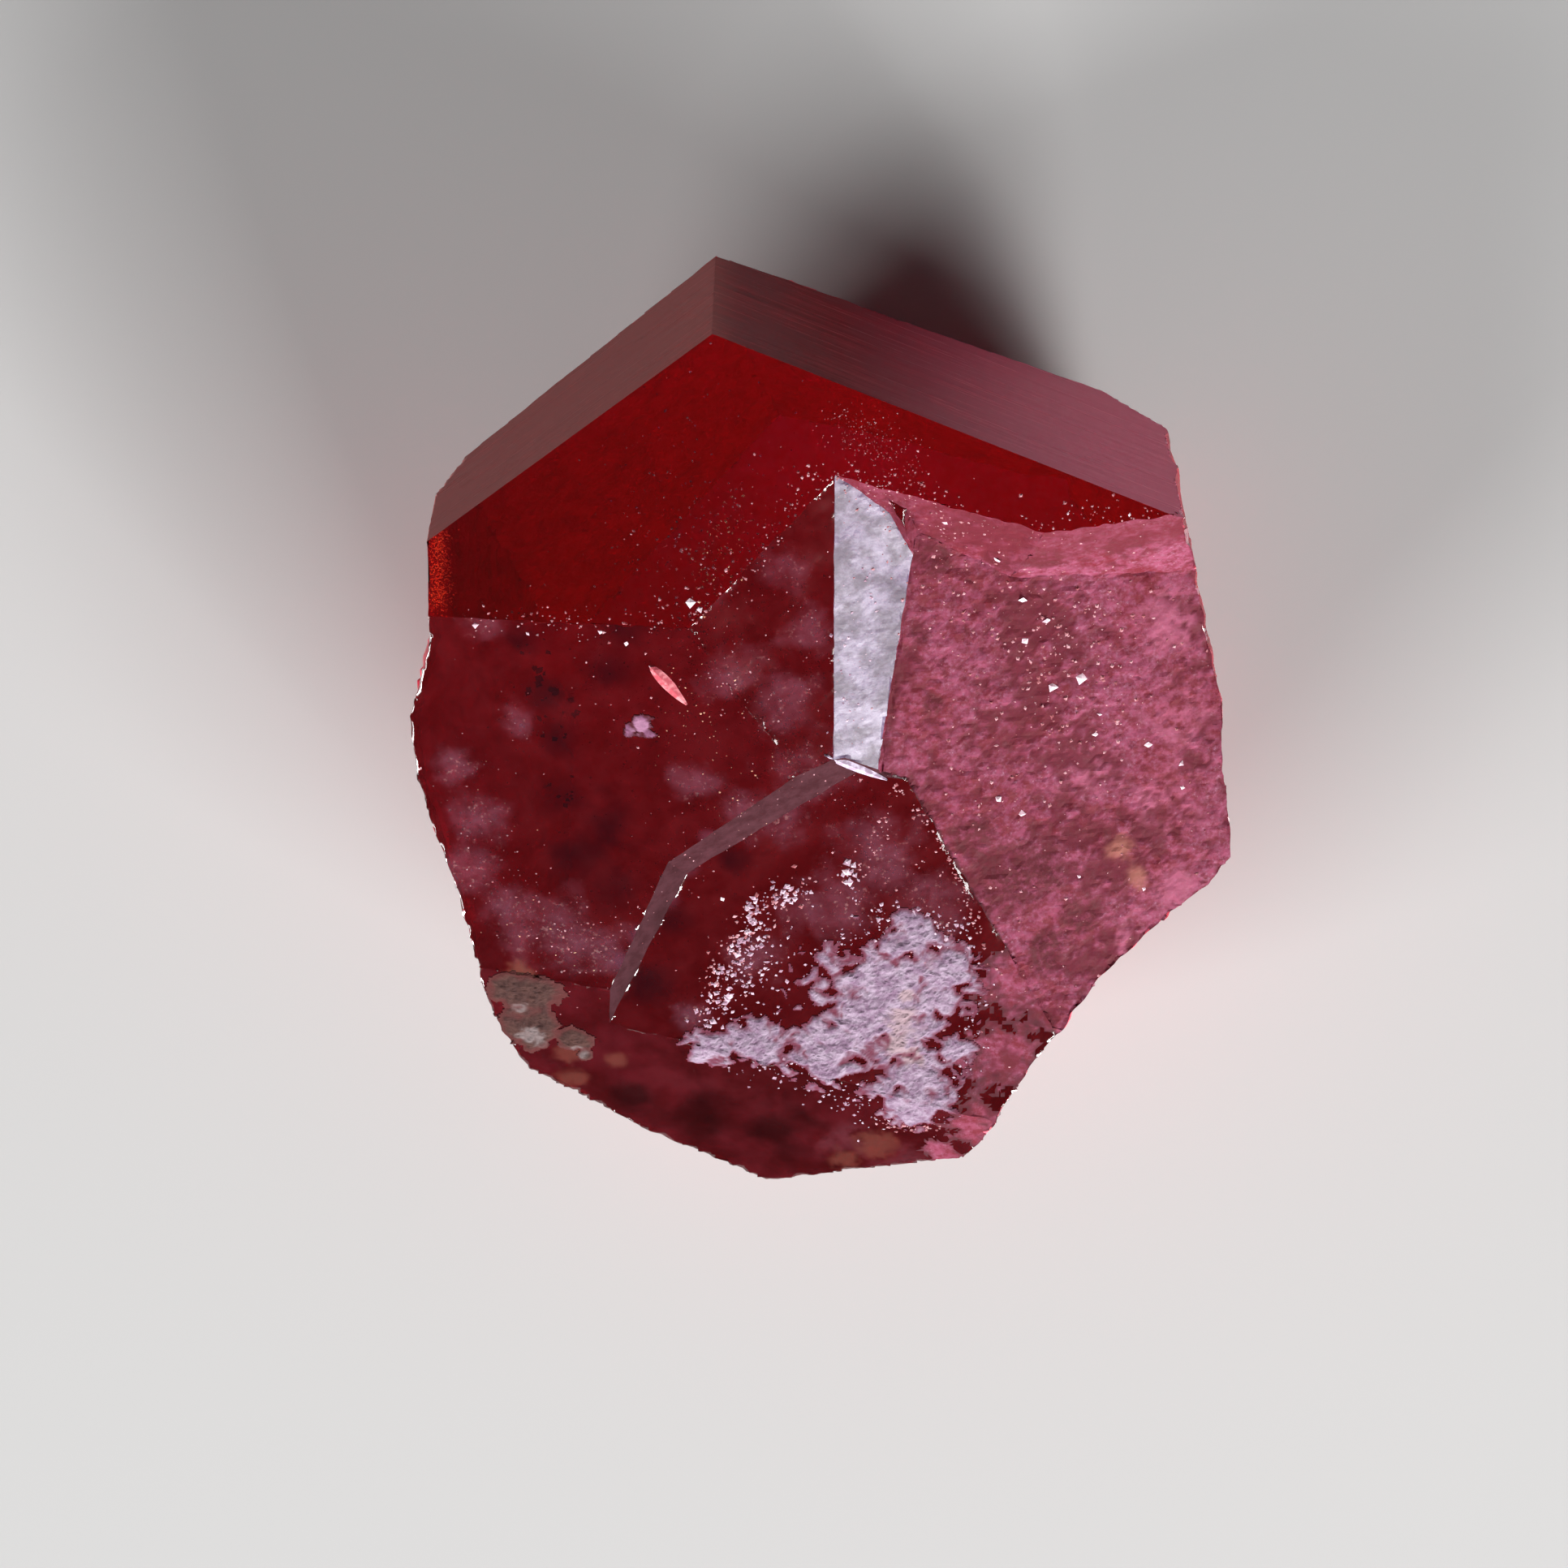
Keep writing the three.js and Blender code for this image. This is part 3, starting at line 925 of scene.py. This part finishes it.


# Pale chips that stand for single sparkles of light: painted glints.
# Single bright flecks: the photo pixel of each and its size in millimetres.
PAINTED_GLINT_FLECKS = (
    (585, 770, 0.07), (803, 823, 0.07), (650, 781, 0.04), (772, 793, 0.05), (740, 778, 0.05), (850, 742, 0.10),
    (862, 750, 0.08), (1262, 790, 0.09), (1332, 835, 0.14), (1296, 845, 0.11), (1415, 918, 0.10), (1392, 634, 0.04),
    (1450, 632, 0.05), (1316, 633, 0.04), (1228, 690, 0.10), (1165, 645, 0.07), (1260, 740, 0.09), (1290, 765, 0.10),
    (1355, 880, 0.06), (1350, 905, 0.07), (1455, 940, 0.06), (1457, 970, 0.05), (1230, 985, 0.09), (1258, 1003, 0.09),
    (1410, 1095, 0.06), (1330, 1080, 0.06), (890, 1108, 0.06), (930, 1112, 0.05), (1043, 1075, 0.10),
)


def make_painted_glints(tree, finish):
    """The painted glints: bright flecks, each one flat pale chip that lies on the surface."""
    chips = Chips(seed=17)
    for px, py, size in PAINTED_GLINT_FLECKS:
        point, normal = on_crystal(tree, px, py)
        chips.add(point, normal, size * MM, 0.35)
    return chips.finish("painted_glint_flecks", finish, "veil")


def make_blotch(name, tree, centres, count, spread, sizes, depth, finish, slot, seed):
    """A tight cluster of chips around each of the photo pixels, all of them buried."""
    chips = Chips(seed)
    for px, py in centres:
        for _ in range(count):
            sow(chips, tree, px, py, spread, sizes, depth, depth * LEAST_DEPTH)
    return chips.finish(name, finish, slot)


def speck_material(name, dark, pale):
    """The specks: small chips of quartz and air, from dark to pale."""
    n = Nodes(name)
    n.set(Base_Color=n.mix(n.ramp(n.noise(0.08 * MM, 3), 0.4, 0.62), dark, pale), Roughness=0.6)
    n.set(Specular_IOR_Level=0.2)
    n.bump(n.noise(0.01 * MM, 3), 0.4, 0.004 * MM)
    return n.material


# The studio

FLOOR_SIZE = 0.6
FLOOR_DROP = 0.02 * MM


def make_floor():
    bpy.ops.mesh.primitive_plane_add(size=FLOOR_SIZE, location=(0, 0, -FLOOR_DROP))
    floor = bpy.context.object
    floor.name = "floor"
    n = Nodes("floor_paper")
    n.set(Base_Color=(0.36, 0.357, 0.354), Roughness=0.9)
    floor.data.materials.append(n.material)


def make_camera():
    data = bpy.data.cameras.new("camera")
    data.sensor_width = SENSOR_WIDTH
    data.lens = FOCAL_PIXELS / PHOTO_SIZE * SENSOR_WIDTH
    data.clip_start = 1 * MM
    data.clip_end = 10
    camera = bpy.data.objects.new("camera", data)
    turn = Matrix((CAMERA_RIGHT, CAMERA_UP, CAMERA_BACK)).transposed()
    camera.matrix_world = Matrix.Translation(CAMERA_PLACE) @ turn.to_4x4()
    bpy.context.scene.collection.objects.link(camera)
    bpy.context.scene.camera = camera


def make_light(name, compass, height, distance, size, power):
    """A soft square lamp in that compass direction, at that angle above the floor, aimed at the crystal."""
    data = bpy.data.lights.new(name, "AREA")
    data.shape = "SQUARE"
    data.size = size
    data.energy = power
    lamp = bpy.data.objects.new(name, data)
    toward = direction_of(90 - height, compass)
    middle = Vector((0, 0, 2.5 * MM))
    lamp.location = middle + toward * distance
    lamp.rotation_euler = toward.to_track_quat("Z", "Y").to_euler()
    bpy.context.scene.collection.objects.link(lamp)


def make_studio():
    make_floor()
    make_camera()
    make_light("key", -40, 34, 0.20, 0.075, 0.30)
    make_light("fill", -60, 18, 0.30, 0.12, 1.9)
    make_light("side", -146, 28, 0.30, 0.15, 1.5)
    world = bpy.data.worlds.new("studio")
    world.use_nodes = True
    world.node_tree.nodes["Background"].inputs["Color"].default_value = (0.9, 0.92, 1.0, 1)
    world.node_tree.nodes["Background"].inputs["Strength"].default_value = 0.06
    scene = bpy.context.scene
    scene.world = world
    scene.view_settings.view_transform = "Standard"
    scene.cycles.max_bounces = 18
    scene.cycles.transmission_bounces = 16
    scene.cycles.diffuse_bounces = 10
    scene.cycles.glossy_bounces = 8


shape = make_crystal()
surface = BVHTree.FromBMesh(shape)
white_crust = crust_material("white_crust", (0.10, 0.018, 0.035), (0.14, 0.08, 0.13), (0.27, 0.205, 0.265), (0.24, 0.165, 0.185))
beige_crust = crust_material("beige_crust", (0.06, 0.012, 0.012), (0.026, 0.008, 0.007), (0.055, 0.024, 0.020), (0.12, 0.09, 0.09))
lilac_crust = crust_material("lilac_crust", (0.05, 0.005, 0.01), (0.08, 0.02, 0.04), (0.20, 0.08, 0.15), (0.24, 0.11, 0.18))
make_crust("white_crust", shape, placed_blobs(surface, WHITE_CRUST_BLOBS), placed_blobs(surface, CREAM_STREAK_BLOBS),
           0.045 * MM, 0.65, 0.17 * MM, white_crust)
make_crust("beige_crust", shape, placed_blobs(surface, BEIGE_CRUST_BLOBS), placed_blobs(surface, PALE_BEIGE_BLOBS),
           0.05 * MM, 0.45, 0.25 * MM, beige_crust)
make_crust("lilac_blotch", shape, placed_blobs(surface, LILAC_BLOBS), placed_blobs(surface, LILAC_BLOBS[:1]),
           0.015 * MM, 0.6, 0.06 * MM, lilac_crust)
make_specks(surface, speck_material("specks", (0.24, 0.06, 0.07), (0.46, 0.23, 0.26)))
make_tan_specks(surface, speck_material("tan_specks", (0.30, 0.12, 0.07), (0.55, 0.30, 0.20)))
make_granules(surface, speck_material("granules", (0.26, 0.14, 0.20), (0.52, 0.38, 0.46)))
make_sliver("pink_flake", surface, FLAKE_ENDS, FLAKE_WIDTH,
            speck_material("pink_flake", (0.36, 0.05, 0.07), (0.55, 0.18, 0.20)))
make_sliver("step_tail", surface, TAIL_ENDS, TAIL_WIDTH,
            speck_material("step_tail", (0.30, 0.22, 0.30), (0.60, 0.52, 0.66)))
make_blotch("dark_inclusions", surface, ((665, 845), (680, 870), (690, 905), (700, 990)), 10, 12, (0.04, 0.10), 0.7,
            speck_material("dark_inclusions", (0.012, 0.006, 0.02), (0.05, 0.02, 0.05)), "inclusion", seed=7)
# Orange chips along the left edge: a painted glow of light coming through that edge.
make_blotch("edge_glow", surface, ((540, 664), (540, 680), (541, 696), (541, 712), (541, 728), (541, 744)), 200, 8,
            (0.006, 0.022), 0.10, speck_material("edge_glow", (0.85, 0.04, 0.015), (0.98, 0.10, 0.04)), "veil", seed=8)
# Pale chips as painted glints.
make_painted_glints(surface, speck_material("painted_glint_flecks", (0.55, 0.36, 0.42), (0.78, 0.62, 0.68)))
shape.free()
make_studio()
